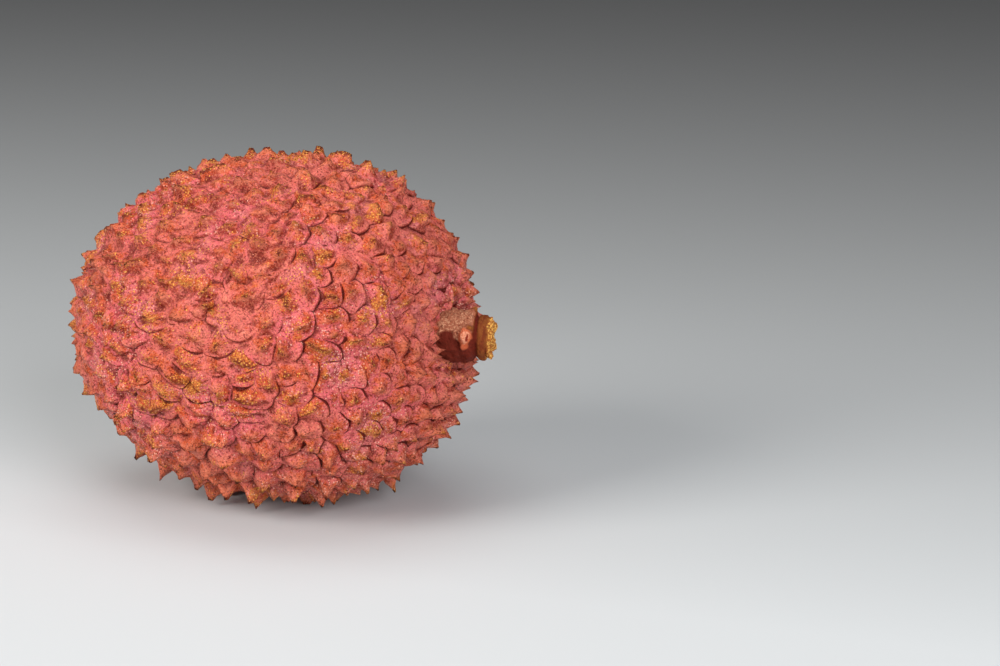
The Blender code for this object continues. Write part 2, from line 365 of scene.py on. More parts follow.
        # The bald ring round the stalk is scurfy above and nearly black below and in the pit: a dark
        # crust with painted shade.
        ragged = f.add("Math", {0: freckles, 1: 0.6, 2: bald}, operation="MULTIPLY_ADD")
        f.coat(self.bald, ragged, 0.70, 1.10, 0.85)
        scurf_grains = f.add("Math", {0: bald, 1: grains}, operation="MULTIPLY")
        f.coat(self.bald_grain, scurf_grains, 0.52, 0.62, 0.8)
        dark = f.add("Math", {0: grains, 1: 0.6, 2: gloom}, operation="MULTIPLY_ADD")
        f.coat(self.pit, dark, 0.65, 1.05, 0.97)

        lowest, highest = self.roughness - self.smoother, self.roughness + self.rougher
        wax = f.add("MapRange", {0: freckles, 1: 0.35, 2: 0.65, 3: lowest, 4: highest})
        stilled = f.add("Math", {0: sleek, 1: self.sleek_calm}, operation="MULTIPLY")
        calm = f.add("Mix", {0: stilled, 2: freckles, 3: 0.5})
        bumps = [
            (fibres, self.fibre_bump),
            (calm, self.freckle_bump),
            (grains, self.grain_bump),
            (granules, self.granule_bump),
        ]
        return f.done(wax, bumps)


@dataclass(frozen=True)
class DryStalk:
    """Dead lychee stalk: a woody stub that was torn off, with a grainy collar at its foot.

    The eye sees matt brown bark, nearly black in its grooves, a pinkish collar, and straw-coloured
    broken fibres at the torn end. The groove colour is also painted as shade at the neck, at the
    foot and on the collar's lower side, which also has a dark crust.
    """

    bark: str = "#88481F"
    groove: str = "#681C0E"
    collar: str = "#B0684C"
    collar_grain: str = "#DCA07C"
    wart: str = "#D66A44"
    wart_grain: str = "#F0A280"
    cleft: str = "#8C1E08"
    torn: str = "#A2602A"
    straw: str = "#ECB058"
    roughness: float = 0.80
    ior: float = 1.45
    gloss: float = 0.2
    fibre: float = 0.16 * MM
    crumb: float = 0.30 * MM

    def build(self) -> bpy.types.Material:
        """Builds the stub's material.

        Returns:
            The material.
        """
        f = Finish("dry_stalk", self.bark, self.roughness, self.ior)
        f.shader.inputs["Specular IOR Level"].default_value = self.gloss
        collar, torn, wart, cleft, shade = (
            f.add("Attribute", {}, "Fac", attribute_name=name)
            for name in ("collar", "torn", "wart", "cleft", "shade")
        )
        spoke = f.add("Attribute", {}, "Vector", attribute_name="spoke")
        coarse = {"Vector": f.place, "Scale": 1 / self.crumb, "Detail": 3.0, "Roughness": 0.65}
        crumbs = f.add("TexNoise", coarse)
        close = {"Vector": f.place, "Scale": 1 / self.fibre, "Detail": 2.0, "Roughness": 0.6}
        fine = f.add("TexNoise", close)
        streaks = f.add("TexNoise", {"Vector": spoke, "Scale": 3.0, "Detail": 2.0})

        f.coat(self.groove, streaks, 0.52, 0.38, 0.6)
        ragged = f.add("Math", {0: crumbs, 1: 0.6, 2: collar}, operation="MULTIPLY_ADD")
        f.coat(self.collar, ragged, 0.7, 1.1)
        collar_grains = f.add("Math", {0: collar, 1: fine}, operation="MULTIPLY")
        f.coat(self.collar_grain, collar_grains, 0.50, 0.60, 0.85)
        f.coat(self.groove, crumbs, 0.42, 0.34, 0.7)
        # Painted shade: the groove colour darkens the neck, the foot and the collar's lower side.
        shaded = f.add("Math", {0: crumbs, 1: 0.9, 2: shade}, operation="MULTIPLY_ADD")
        f.coat(self.groove, shaded, 0.70, 1.30, 0.97)
        f.coat(self.wart, wart, 0.25, 0.6)
        wart_grains = f.add("Math", {0: wart, 1: fine}, operation="MULTIPLY")
        f.coat(self.wart_grain, wart_grains, 0.34, 0.46, 0.9)
        split = f.add("Math", {0: crumbs, 1: 0.8, 2: cleft}, operation="MULTIPLY_ADD")
        f.coat(self.cleft, split, 0.75, 1.0, 0.95)
        f.coat(self.torn, torn, 0.3, 0.7)
        ends = f.add("Math", {0: torn, 1: fine}, operation="MULTIPLY")
        f.coat(self.straw, ends, 0.48, 0.58)
        dull = {0: fine, 1: 0.3, 2: 0.7, 3: self.roughness - 0.1, 4: self.roughness + 0.1}
        bumps = [(streaks, 0.08 * MM), (crumbs, 0.22 * MM), (fine, 0.10 * MM)]
        return f.done(f.add("MapRange", dull), bumps)


@dataclass(frozen=True)
class StudioPaper:
    """Seamless background paper: smooth, matt and pale. The eye sees an even grey with no edge."""

    near: str = "#D1D4D5"
    # Painted shade for the back of the paper.
    far: str = "#565656"
    roughness: float = 0.9
    ior: float = 1.45
    fade_start: float = -0.018
    fade_per_metre: float = 7.3
    tooth: float = 0.4 * MM

    def build(self) -> bpy.types.Material:
        """Builds the paper's material, with painted shade that makes it darker the further back it
        goes.

        Returns:
            The material.
        """
        f = Finish("studio_paper", self.near, self.roughness, self.ior)
        depth = f.add("SeparateXYZ", {0: f.place}, "Y")
        shares = {0: depth, 1: self.fade_start, 2: 1.0, 3: 0.0, 4: -self.fade_per_metre}
        fade = f.add("MapRange", shares)
        left = f.add("Math", {0: math.e, 1: fade}, operation="POWER")
        # Painted shade: the paper darkens the further back it goes, in place of the light's falloff.
        f.coat(self.far, left, 1.0, 0.0, growth=Growth.EVEN)
        tooth = f.add("TexNoise", {"Vector": f.place, "Scale": 1 / self.tooth})
        dull = f.add("MapRange", {0: tooth, 3: self.roughness - 0.03, 4: self.roughness + 0.03})
        return f.done(dull, [(tooth, 0.002 * MM)])


# --- The rind ------------------------------------------------------------------------------------


@dataclass
class Skin:
    """The smooth body under the scales, before it is tilted: a blunt egg, dimpled at the stem."""

    radius: float = 14.2 * MM
    stem_reach: float = 15.2 * MM
    tip_reach: float = 18.9 * MM
    stem_fullness: float = 2.4
    tip_fullness: float = 2.05
    tilt: float = math.radians(2.5)
    saddle_depth: float = 0.7 * MM
    saddle_radius: float = 6.0 * MM
    pit_depth: float = 1.6 * MM
    pit_radius: float = 2.75 * MM
    pit_steepness: int = 4
    lobe_share: float = 0.012
    swell_share: float = 0.010
    lobe_turn: float = 0.6
    swell_turn: float = 2.2

    def points(self, directions: np.ndarray) -> np.ndarray:
        """Finds points on the body.

        Args:
            directions: Unit vectors from the body's origin.

        Returns:
            The point in each direction.
        """
        along, across = directions[:, 0], np.linalg.norm(directions[:, 1:], axis=1)
        fullness = np.where(along > 0, self.stem_fullness, self.tip_fullness)
        reach = np.where(along > 0, self.stem_reach, self.tip_reach)
        stretch = (np.abs(along) ** fullness + across**fullness) ** (-1 / fullness)
        turn = np.arctan2(directions[:, 2], directions[:, 1])
        lobes = self.lobe_share * np.cos(2 * (turn - self.lobe_turn))
        lobes += self.swell_share * np.cos(turn - self.swell_turn)
        girth = self.radius * stretch * (1 + lobes * across**2)
        radius = girth * across
        dimple = self.saddle_depth * np.exp(-((radius / self.saddle_radius) ** 2))
        dimple += self.pit_depth * np.exp(-((radius / self.pit_radius) ** self.pit_steepness))
        x = reach * stretch * along - np.where(along > 0, dimple, 0)
        return np.stack([x, girth * directions[:, 1], girth * directions[:, 2]], axis=1)

    def normals(self, directions: np.ndarray) -> np.ndarray:
        """Finds outward unit normals of the body, by small steps to both sides.

        Args:
            directions: Unit vectors from the body's origin.

        Returns:
            The normal in each direction.
        """
        step = 1e-3
        helper = np.where(np.abs(directions[:, :1]) < 0.9, [[1.0, 0, 0]], [[0, 1.0, 0]])
        first = unit(np.cross(directions, helper))
        second = np.cross(directions, first)
        slopes = [
            self.points(unit(directions + step * way)) - self.points(unit(directions - step * way))
            for way in (first, second)
        ]
        return unit(np.cross(*slopes))


@dataclass
class ScalePattern:
    """Where the scales stand: a golden-angle spiral, shaken by seeded steps and then evened out."""

    skin: Skin
    seed: int = 20
    spacing_middle: float = 2.95 * MM
    spacing_stem: float = 1.45 * MM
    spacing_tip: float = 2.0 * MM
    stem_zone: float = math.radians(42)
    tip_zone: float = math.radians(48)
    jitter: float = 0.50
    relax_rounds: int = 2
    relax_share: float = 0.42
    shortest_crease: float = 0.16 * MM
    tip_height: float = 1.05 * MM
    tip_height_spread: float = 0.42
    tip_offset: float = 0.16
    ridge_length: float = 1.10 * MM
    ridge_shortest: float = 0.14 * MM
    ridge_swing: float = math.radians(35)
    underside_gain: float = 0.25
    top_loss: float = 0.18
    end_height_share: float = 0.62
    small_share: float = 0.42
    small_height: float = 0.62
    small_ridge: float = 0.25 * MM
    small_gap: float = 1.15 * MM
    small_seed: int = 31

    def __post_init__(self) -> None:
        """Draws every scale's place, height and ridge, in the same order as the solids do."""
        draw = np.random.default_rng(self.seed)
        self.centres = self.place_centres(draw)
        count = len(self.centres)
        spread = 1 + self.tip_height_spread * draw.uniform(-1, 1, count)
        self.heights = self.tip_height * spread * self.height_share()
        self.shifts = self.tip_offset * draw.uniform(-1, 1, (count, 3))
        draw.uniform(-1, 1, count)  # the solids' shoulder heights, which the fine profiles replace
        self.ridges = self.ridge_steps(draw)
        self.corners, self.cells = self.merged_cells()
        rims = [self.corners[cell] for cell in self.cells]
        size = [
            np.linalg.norm(rim - centre, axis=1).mean() for rim, centre in zip(rims, self.centres)
        ]
        self.tips = unit(self.centres + self.shifts * np.array(size)[:, None])
        self.add_small_scales()

    def add_small_scales(self) -> None:
        """Puts a small scale where three scales meet with the most room. The solids have none."""
        draw = np.random.default_rng(self.small_seed)
        nearest = np.array(
            [np.linalg.norm(self.tips - corner, axis=1).min() for corner in self.corners]
        )
        order = np.argsort(-nearest * draw.uniform(0.75, 1.0, len(nearest)))
        chosen = []
        for index in order:
            corner = self.corners[index]
            apart = [np.linalg.norm(corner - other) * self.skin.radius for other in chosen]
            room = min(nearest[index] * self.skin.radius, min(apart, default=1))
            if room > self.small_gap:
                chosen.append(corner)
            if len(chosen) >= self.small_share * len(self.centres):
                break
        small, count = np.array(chosen), len(chosen)
        heading = unit(np.cross(small, draw.uniform(-1, 1, (count, 3))))
        self.centres = np.vstack([self.centres, small])
        self.tips = np.vstack([self.tips, small])
        self.ridges = np.vstack([self.ridges, heading * self.small_ridge / (2 * self.skin.radius)])
        spread = 1 + self.tip_height_spread * draw.uniform(-1, 1, count)
        heights = self.tip_height * self.small_height * spread * self.height_share()[-count:]
        self.heights = np.concatenate([self.heights, heights])
        self.corners, self.cells = self.merged_cells()

    def spacing_at(self, polar: np.ndarray) -> np.ndarray:
        """Works out how far apart the scales stand.

        Args:
            polar: Angles from the stalk, in radians.

        Returns:
            The distance between scales at each angle, in metres.
        """
        stem = (self.spacing_stem - self.spacing_middle) * np.exp(-((polar / self.stem_zone) ** 2))
        back = (math.pi - polar) / self.tip_zone
        tip = (self.spacing_tip - self.spacing_middle) * np.exp(-(back**2))
        return self.spacing_middle + stem + tip

    def place_centres(self, draw: np.random.Generator) -> np.ndarray:
        """Sets out the scales.

        Args:
            draw: The seeded random numbers.

        Returns:
            Unit vectors towards the scales.
        """
        polar = np.linspace(0, math.pi, 721)
        line = self.skin.points(np.stack([np.cos(polar), np.sin(polar), 0 * polar], axis=1))
        length = np.linalg.norm(np.diff(line, axis=0), axis=1)
        girth = math.pi * (line[1:, 1] + line[:-1, 1])
        spacing = self.spacing_at((polar[1:] + polar[:-1]) / 2)
        held = np.concatenate([[0], np.cumsum(girth * length / (math.sqrt(3) / 2 * spacing**2))])
        count = int(held[-1])
        polar = np.interp((np.arange(count) + 0.5) / count * held[-1], held, polar)
        turn = np.arange(count) * math.pi * (3 - math.sqrt(5))
        around = np.stack([np.cos(turn), np.sin(turn)], axis=1) * np.sin(polar)[:, None]
        centres = np.column_stack([np.cos(polar), around])
        step = self.jitter * self.spacing_at(polar) / self.skin.radius
        centres = unit(centres + step[:, None] * draw.uniform(-1, 1, (count, 3)))
        for _ in range(self.relax_rounds):
            corners, cells = self.cells_of(centres)
            middles = unit(np.array([corners[cell].mean(axis=0) for cell in cells]))
            centres = unit(centres + self.relax_share * (middles - centres))
        return centres

    def cells_of(self, centres: np.ndarray) -> tuple[np.ndarray, list[list[int]]]:
        """The Voronoi cells of the centres on the unit sphere.

        Args:
            centres: Unit vectors towards the scales.

        Returns:
            The cells' corners, and the corner indices of each cell in order round it.
        """
        hull = bmesh.new()
        for centre in centres:
            hull.verts.new(centre)
        hull.verts.index_update()
        bmesh.ops.convex_hull(hull, input=hull.verts)
        bmesh.ops.triangulate(hull, faces=hull.faces)
        triangles = np.array([[v.index for v in face.verts] for face in hull.faces])
        hull.free()
        a, b, c = (centres[triangles[:, i]] for i in range(3))
        corners = unit(np.cross(b - a, c - a))
        corners *= np.sign(np.sum(corners * a, axis=1, keepdims=True))
        owners = [[] for _ in centres]
        for index, triangle in enumerate(triangles):
            for owner in triangle:
                owners[owner].append(index)
        cells = []
        for centre, found in zip(centres, owners):
            axis = Vector(centre)
            side = axis.orthogonal().normalized()
            other = axis.cross(side)
            around = [math.atan2(other.dot(corners[i]), side.dot(corners[i])) for i in found]
            cells.append([index for _, index in sorted(zip(around, found))])
        return corners, cells

    def merged_cells(self) -> tuple[np.ndarray, list[list[int]]]:
        """Makes one corner of corners that nearly touch.

        Returns:
            The corners and the cells, as cells_of gives them.
        """
        corners, cells = self.cells_of(self.centres)
        plan = bmesh.new()
        verts = [plan.verts.new(corner * self.skin.radius) for corner in corners]
        owner = plan.faces.layers.int.new("scale")
        for index, cell in enumerate(cells):
            plan.faces.new([verts[i] for i in cell])[owner] = index
        bmesh.ops.remove_doubles(plan, verts=plan.verts, dist=self.shortest_crease)
        plan.verts.index_update()
        merged = unit(np.array([v.co[:] for v in plan.verts]))
        rings = {face[owner]: [v.index for v in face.verts] for face in plan.faces}
        plan.free()
        return merged, [rings[i] for i in range(len(cells))]

    def height_share(self) -> np.ndarray:
        """Works out how tall scales are: taller underneath, lower on top and towards both ends.

        Returns:
            One factor for each scale.
        """
        under = self.underside_gain * smooth_step(0.1, 0.9, -self.centres[:, 2])
        above = self.top_loss * smooth_step(0.1, 0.9, self.centres[:, 2])
        spacing = self.spacing_at(np.arccos(np.clip(self.centres[:, 0], -1, 1)))
        end = self.end_height_share
        crowding = end + (1 - end) * spacing / self.spacing_middle
        return (1 + under - above) * crowding

    def ridge_steps(self, draw: np.random.Generator) -> np.ndarray:
        """Draws the direction and length of each tip's ridge.

        Args:
            draw: The seeded random numbers.

        Returns:
            Half of each ridge, as a step on the unit sphere.
        """
        centres, count = self.centres, len(self.centres)
        lengthwise = unit(np.cross(np.cross(centres, [[1.0, 0, 0]]), centres))
        swing = self.ridge_swing * draw.uniform(-1, 1, (count, 1))
        heading = np.cos(swing) * lengthwise + np.sin(swing) * np.cross(centres, lengthwise)
        middle = 1 - np.abs(centres[:, :1]) ** 1.5
        drawn = draw.uniform(0, 1, (count, 1)) ** 2
        length = self.ridge_shortest + self.ridge_length * middle * drawn
        return heading * length / (2 * self.skin.radius)


@dataclass(frozen=True)
class Relief:
    """The shape of one scale. Heights are shares of the height that its place gives it."""

    height: float
    roundness: float
    flare: float
    point: float
    sink: float = 0.0
    lip: float = 0.10 * MM
    wrinkles: float = 1.0
    ridge: float = 1.0
    droop: float = 1.0
    cork: float = 1.0


class ScaleForm(Enum):
    """The forms that scales take, from smooth pads to thorns."""

    PEAK = Relief(
        height=1.0, roundness=1.4, flare=0.70, point=0.40, wrinkles=1.1, ridge=0.5, droop=0.7
    )
    DOME = Relief(height=0.85, roundness=2.2, flare=0.10, point=0.28)
    RIDGE = Relief(height=0.95, roundness=1.6, flare=0.25, point=0.40, ridge=2.2, droop=1.5)
    PAD = Relief(
        height=0.50, roundness=4.0, flare=0.0, point=0.05, lip=0.22 * MM, wrinkles=0.2, cork=0.3
    )
    HOLLOW = Relief(
        height=0.80, roundness=3.0, flare=0.0, point=0.0, sink=0.5, ridge=1.6, droop=0.4, cork=0.6
    )
    THORN = Relief(
        height=0.84, roundness=1.4, flare=0.60, point=0.18, lip=0.05 * MM, wrinkles=0.8, ridge=0.5
    )


@dataclass
class Rind:
    """The whole skin as one fine mesh: rings of vertices close in on each scale's ridge."""

    pattern: ScalePattern
    finish: LycheeRind = field(default_factory=LycheeRind)
    mesh_step: float = 0.222 * MM
    groove_step: float = 0.075 * MM
    longest_ridge: float = 0.72
    bow: float = 0.15
    seed: int = 5
    # Shares of peaks, domes, ridges, pads and hollows among the scales that aren't thorns.
    upper_mix: tuple[float, ...] = (0.48, 0.05, 0.37, 0.03, 0.07)
    lower_mix: tuple[float, ...] = (0.14, 0.36, 0.28, 0.15, 0.07)
    # Distances from the stalk's axis between which each thing round the stalk changes.
    solid_pit: tuple[float, float] = (2.2 * MM, 3.4 * MM)
    bald_edge: tuple[float, float] = (1.8 * MM, 2.6 * MM)
    bald_ring: tuple[float, float] = (2.3 * MM, 3.9 * MM)
    dark_pit: tuple[float, float] = (1.7 * MM, 2.2 * MM)
    pit_wall: tuple[float, float] = (1.7 * MM, 2.5 * MM)
    full_height: tuple[float, float] = (2.6 * MM, 4.2 * MM)
    rim_height_share: float = 0.45
    pit_fill: float = 0.75
    shoulder_height: float = 0.45 * MM
    shoulder_radius: float = 4.8 * MM
    shoulder_width: float = 2.2 * MM
    # Zones are shares of the way from the body's middle to its stem end, top or bottom.
    stem_thorn_gain: float = 0.45
    stem_thorn_zone: tuple[float, float] = (0.78, 0.93)
    top_gain: float = 0.2
    top_zone: tuple[float, float] = (0.2, 0.8)
    low_thorn_gain: float = 0.25
    low_thorn_zone: tuple[float, float] = (0.45, 0.80)
    resting_zone: tuple[float, float] = (0.955, 0.985)
    facet_share: float = 0.8
    facet_least: float = 0.15
    facet_depth: float = 0.20 * MM
    facet_zone: tuple[float, float] = (0.25, 0.65)
    facet_turn: float = 1.5
    tint_turn: float = 40
    point_width: float = 0.34 * MM
    lip_width: float = 0.07 * MM
    shingle_width: float = 0.06 * MM
    bend: float = 0.32 * MM
    bend_length: float = 3.0 * MM
    wobble: float = 0.12 * MM
    wobble_length: float = 1.0 * MM
    saddle_height: float = 0.10 * MM
    saddle_soft_gain: float = 0.05 * MM
    saddle_length: float = 2.6 * MM
    groove_depth: float = 0.12 * MM
    groove_width: float = 0.07 * MM
    groove_run: float = 1.8 * MM
    shingle: float = 0.17 * MM
    spur_height: float = 0.48 * MM
    spur_spacing: float = 1.7 * MM
    spur_reach: float = 0.50
    cavity_rounds: int = 7
    cavity_depth: float = 0.22 * MM
    lump: float = 0.20 * MM
    lump_length: float = 1.1 * MM
    crumple: float = 0.10 * MM
    crumple_length: float = 0.45 * MM
    furrow: float = 0.10 * MM
    furrows: int = 9
    fold: float = 0.20 * MM
    fold_length: float = 1.25 * MM
    fold_stretch: float = 2.2
    droop_reach: float = 0.58 * MM
    droop_least: float = 0.08 * MM
    droop_most: float = 0.36 * MM

    def build(self) -> bpy.types.Object:
        """Builds the rind.

        Returns:
            The object, in place, with what its material reads stored on its vertices.
        """
        self.choose_forms()
        self.lay_out()
        self.survey()
        skin = self.pattern.skin
        self.middle = self.find_middle()
        bent = self.bend_pattern()
        self.lift = self.raise_scales()
        points = skin.points(bent) + self.lift[:, None] * skin.normals(bent)
        points = points @ self.turn().T + np.array(self.middle)
        points[:, 2] = np.maximum(points[:, 2], 0)
        piece = add_mesh("lychee_rind", points, self.faces, self.finish.build())
        self.paint_on(piece)
        return piece

    def turn(self) -> np.ndarray:
        """The matrix that tilts the fruit as it lies."""
        return np.array(Matrix.Rotation(-self.pattern.skin.tilt, 3, "Y"))

    def find_middle(self) -> Vector:
        """Works out where the body stands, from the solid's box and the tips that touch it.

        Returns:
            The place of the body's own origin in the row frame.
        """
        pattern, skin = self.pattern, self.pattern.skin
        ends = [unit(pattern.tips + side * pattern.ridges) for side in (-1, 1)]
        heights = pattern.heights * (1 - self.pit_share(skin.points(pattern.tips), *self.solid_pit))
        tips = np.vstack([skin.points(end) + heights[:, None] * skin.normals(end) for end in ends])
        tips = tips @ self.turn().T
        low, high = (np.array(corner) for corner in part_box("fruit"))
        shift = (low + high - tips.min(axis=0) - tips.max(axis=0)) / 2
        shift[2] = high[2] - tips[:, 2].max()
        return Vector(shift)

    def choose_forms(self) -> None:
        """Gives each scale a form for its place on the fruit: thorns below and at the ends."""
        draw = np.random.default_rng(self.seed)
        centres = self.pattern.centres
        below = smooth_step(0.25, 0.75, -centres[:, 2])
        stem = smooth_step(0.55, 0.85, centres[:, 0])
        tip = smooth_step(0.60, 0.95, -centres[:, 0])
        thorny = np.clip(0.08 + below + 0.85 * stem + 0.7 * tip, 0, 1)
        picks = draw.uniform(0, 1, (len(centres), 2))
        above = smooth_step(-0.05, 0.40, centres[:, 2])[:, None]
        limits = np.cumsum(above * self.upper_mix + (1 - above) * self.lower_mix, axis=1)
        soft = list(ScaleForm)[:-1]
        forms = [
            ScaleForm.THORN if first < share else soft[int(np.searchsorted(limit[:-1], second))]
            for first, second, share, limit in zip(picks[:, 0], picks[:, 1], thorny, limits)
        ]
        self.reliefs = [form.value for form in forms]
        self.tints = draw.uniform(0, 1, len(centres))
        self.droops = draw.uniform(0, 1, len(centres)) ** 1.5

        fall = self.fall_at(centres) + 0.35 * draw.uniform(-1, 1, (len(centres), 3))
        self.falls = unit(fall - np.sum(fall * centres, axis=1, keepdims=True) * centres)
        self.corky_sides = draw.uniform(0, math.tau, len(centres))

    def fall_at(self, spots: np.ndarray) -> np.ndarray:
        """Works out which way scales overlap: downwards, but towards the stalk near it.

        Args:
            spots: Unit vectors from the body's origin.

        Returns:
            A unit vector along the surface for each.
        """
        stemward = smooth_step(-0.1, 0.7, spots[:, :1])
        fall = stemward * [[1.0, 0, 0]] + (1 - stemward) * [[-0.15, 0, -1.0]]
        return unit(fall - np.sum(fall * spots, axis=1, keepdims=True) * spots)

    def lay_out(self) -> None:
        """Fills the lists of vertices and faces, ring by ring, without heights."""
        self.directions = [tuple(corner) for corner in self.pattern.corners]
        self.notes = [(-1, 0.0, 0.0, 0.0, 1.0)] * len(self.directions)
        self.faces = []
        self.edges = {}
        self.rims = []
        for index, cell in enumerate(self.pattern.cells):
            rim = [v for a, b in zip(cell, [*cell[1:], cell[0]]) for v in self.crease(a, b)]
            self.fill_cell(index, rim)

    def add_vertex(self, direction: np.ndarray, note: tuple = (-1, 0.0, 0.0, 0.0, 1.0)) -> int:
        """Adds one vertex.

        Args:
            direction: Unit vector towards it.
            note: Its scale, angle round the tip, share of the way from the crease to the ridge, and
                distances from the crease and from the ridge. A vertex on a crease has scale -1.

        Returns:
            Its index.
        """
        self.directions.append(tuple(direction))
        self.notes.append(note)
        return len(self.directions) - 1

    def crease(self, a: int, b: int) -> list[int]:
        """Gives the vertices of one crease, which the scales on its two sides share.

        Args:
            a: The corner where it starts.
            b: The corner where it ends.

        Returns:
            Its vertices in order, with corner a and without corner b.
        """
        key = (min(a, b), max(a, b))
        if key not in self.edges:
            start, end = (np.array(self.directions[i]) for i in key)
            length = np.linalg.norm(end - start) * self.pattern.skin.radius
            parts = max(1, round(length / self.mesh_step))
            side = np.cross(unit(start + end), end - start)
            side *= self.bow * (unit(side) @ self.fall_at(unit(start + end)[None])[0])
            shares = np.arange(1, parts) / parts
            self.edges[key] = [
                self.add_vertex(unit(start + (end - start) * t + side * 4 * t * (1 - t)))
                for t in shares
            ]
        inner = self.edges[key]
        return [a, *(inner if a < b else inner[::-1])]

    def fill_cell(self, index: int, rim: list[int]) -> None:
        """Closes one scale: rings from its crease inwards, and at last the ridge itself.

        Args:
            index: The scale's number.
            rim: The vertices round its crease, in order.
        """
        radius = self.pattern.skin.radius
        tip, half = self.pattern.tips[index], self.pattern.ridges[index] * self.reliefs[index].ridge
        places = np.array([self.directions[i] for i in rim])
        span = np.linalg.norm(places - tip, axis=1)
        size, reach = span.mean(), np.linalg.norm(half)
        along = np.abs((places - tip) @ half) / (span * reach)
        room = min(size, span[along > 0.8].min(initial=size))
        half = half * min(1.0, self.longest_ridge * room / reach)
        heading = unit(half)
        side = np.cross(tip, heading)
        angles = np.arctan2((places - tip) @ side, (places - tip) @ heading) % math.tau
        order = np.roll(np.arange(len(rim)), -int(np.argmin(angles)))
        angles, places = angles[order], places[order]
        outer = [(angle, rim[i]) for angle, i in zip(angles, order)]
        self.rims += [(vertex, index, angle) for angle, vertex in outer]

        looped = np.concatenate([angles[-1:] - math.tau, angles, angles[:1] + math.tau])
        loop = np.vstack([places[-1:], places, places[:1]])
        perimeter = np.linalg.norm(np.diff(loop[1:], axis=0), axis=1).sum() * radius
        depth = size * radius
        gaps = [self.groove_step, 2.2 * self.groove_step]
        count = max(1, round((depth - gaps[-1]) / self.mesh_step / 0.9))
        gaps += [gaps[-1] + (depth - gaps[-1]) * (i + 1) / count for i in range(count - 1)]
        for number, gap in enumerate(gaps):
            inward = gap / depth
            around = perimeter * (1 - inward) + 4 * np.linalg.norm(half) * radius * inward
            parts = max(5, round(around / self.mesh_step))
            turn = (np.arange(parts) + 0.5 * (number % 2)) / parts * math.tau
            edge = np.stack([np.interp(turn, looped, loop[:, i]) for i in range(3)], axis=1)
            goal = tip + np.clip(1.3 * np.cos(turn), -1, 1)[:, None] * half
            span = np.linalg.norm(goal - edge, axis=1) * radius
            spots = unit(edge + (goal - edge) * inward)
            ring = [
                (t, self.add_vertex(spot, (index, t, inward, inward * wide, (1 - inward) * wide)))
                for t, spot, wide in zip(turn, spots, span)
            ]
            self.stitch(outer, ring)
            outer = ring

        steps = max(1, round(2 * np.linalg.norm(half) * radius / self.mesh_step))
        shares = np.linspace(-1, 1, steps + 1)
        note = (index, 0.0, 1.0, depth, 0.0)
        crest = [self.add_vertex(unit(tip + half * share), note) for share in shares]
        turns = np.arccos(np.clip(shares / 1.3, -1, 1))
        turns[0], turns[-1] = math.pi, 0.0
        closed = [(turns[i], crest[i]) for i in range(steps, -1, -1)]
        closed += [(math.tau - turns[i], crest[i]) for i in range(1, steps)]
        self.stitch(outer, closed)

    def stitch(self, outer: list[tuple[float, int]], inner: list[tuple[float, int]]) -> None:
        """Adds the triangles between two rings.

        Args:
            outer: The outer ring's angles and vertices, in order of angle.
            inner: The same for the inner ring.
        """
        i = j = 0
        while i < len(outer) or j < len(inner):
            next_outer = outer[(i + 1) % len(outer)][0] + math.tau * ((i + 1) // len(outer))
            next_inner = inner[(j + 1) % len(inner)][0] + math.tau * ((j + 1) // len(inner))
            here, there = outer[i % len(outer)][1], inner[j % len(inner)][1]
            if j >= len(inner) or (i < len(outer) and next_outer <= next_inner):
                i += 1
                corners = (here, outer[i % len(outer)][1], there)
            else:
                j += 1
                corners = (here, inner[j % len(inner)][1], there)
            if len(set(corners)) == 3:
                self.faces.append(corners)

    def survey(self) -> None:
        """Works out, for every vertex, what heights and colours are made from."""
        self.spots = np.array(self.directions)
        self.places = self.spots * self.pattern.skin.radius
        owner, self.angle, self.inward, self.gap, self.ridge_gap = np.array(self.notes).T
        self.owner = owner.astype(int)
        self.on_scale = self.owner >= 0
        heading = unit(self.pattern.ridges)
        side = np.cross(self.pattern.tips, heading)
        free = np.arctan2(np.sum(self.falls * side, axis=1), np.sum(self.falls * heading, axis=1))
        self.free = np.where(self.on_scale, np.cos(self.angle - free[self.owner]), 0)
        vertex, scale, angle = np.array(self.rims).T
        self.across = np.abs(self.free)
        np.maximum.at(self.across, vertex.astype(int), np.cos(angle - free[scale.astype(int)]))

        above = smooth_step(-0.30, 0.30, self.spots[:, 2] + 0.12 * waves(self.places, 5 * MM, 2))
        self.soft = above * (1 - smooth_step(0.40, 0.80, np.abs(self.spots[:, 0] + 0.12)))
        lean = 0.4 * self.spots[:, 0] - 0.3 * self.spots[:, 2]
        torn = smooth_step(-0.40, 0.20, waves(self.places, self.groove_run, 6) + lean)
        self.groove_share = torn * smooth_step(0.20, 0.80, self.across) * (1 - 0.35 * self.soft)
        self.groove = self.groove_share * np.exp(-((self.gap / self.groove_width) ** 2))
        shifted = (self.places / self.spur_spacing).tolist()
        nearest = np.array([noise.voronoi(spot)[0][0] for spot in shifted])
        self.spurs = np.clip(1 - nearest / self.spur_reach, 0, 1) ** 1.3

    def of_scale(self, values: np.ndarray | list[float]) -> np.ndarray:
        """The value of each vertex's scale, and 0 on the creases."""
        return np.append(values, 0)[self.owner]

    def of_form(self, name: str) -> np.ndarray:
        """A number of each vertex's scale form, and 0 on the creases."""
        return self.of_scale([getattr(relief, name) for relief in self.reliefs])

    def pit_share(self, points: np.ndarray, inner: float, outer: float) -> np.ndarray:
        """1 nearer to the stalk's axis than the inner radius, and 0 beyond the outer radius."""
        away = np.where(points[:, 0] > 0, np.linalg.norm(points[:, 1:], axis=1), 1.0)
        return 1 - smooth_step(inner, outer, away)

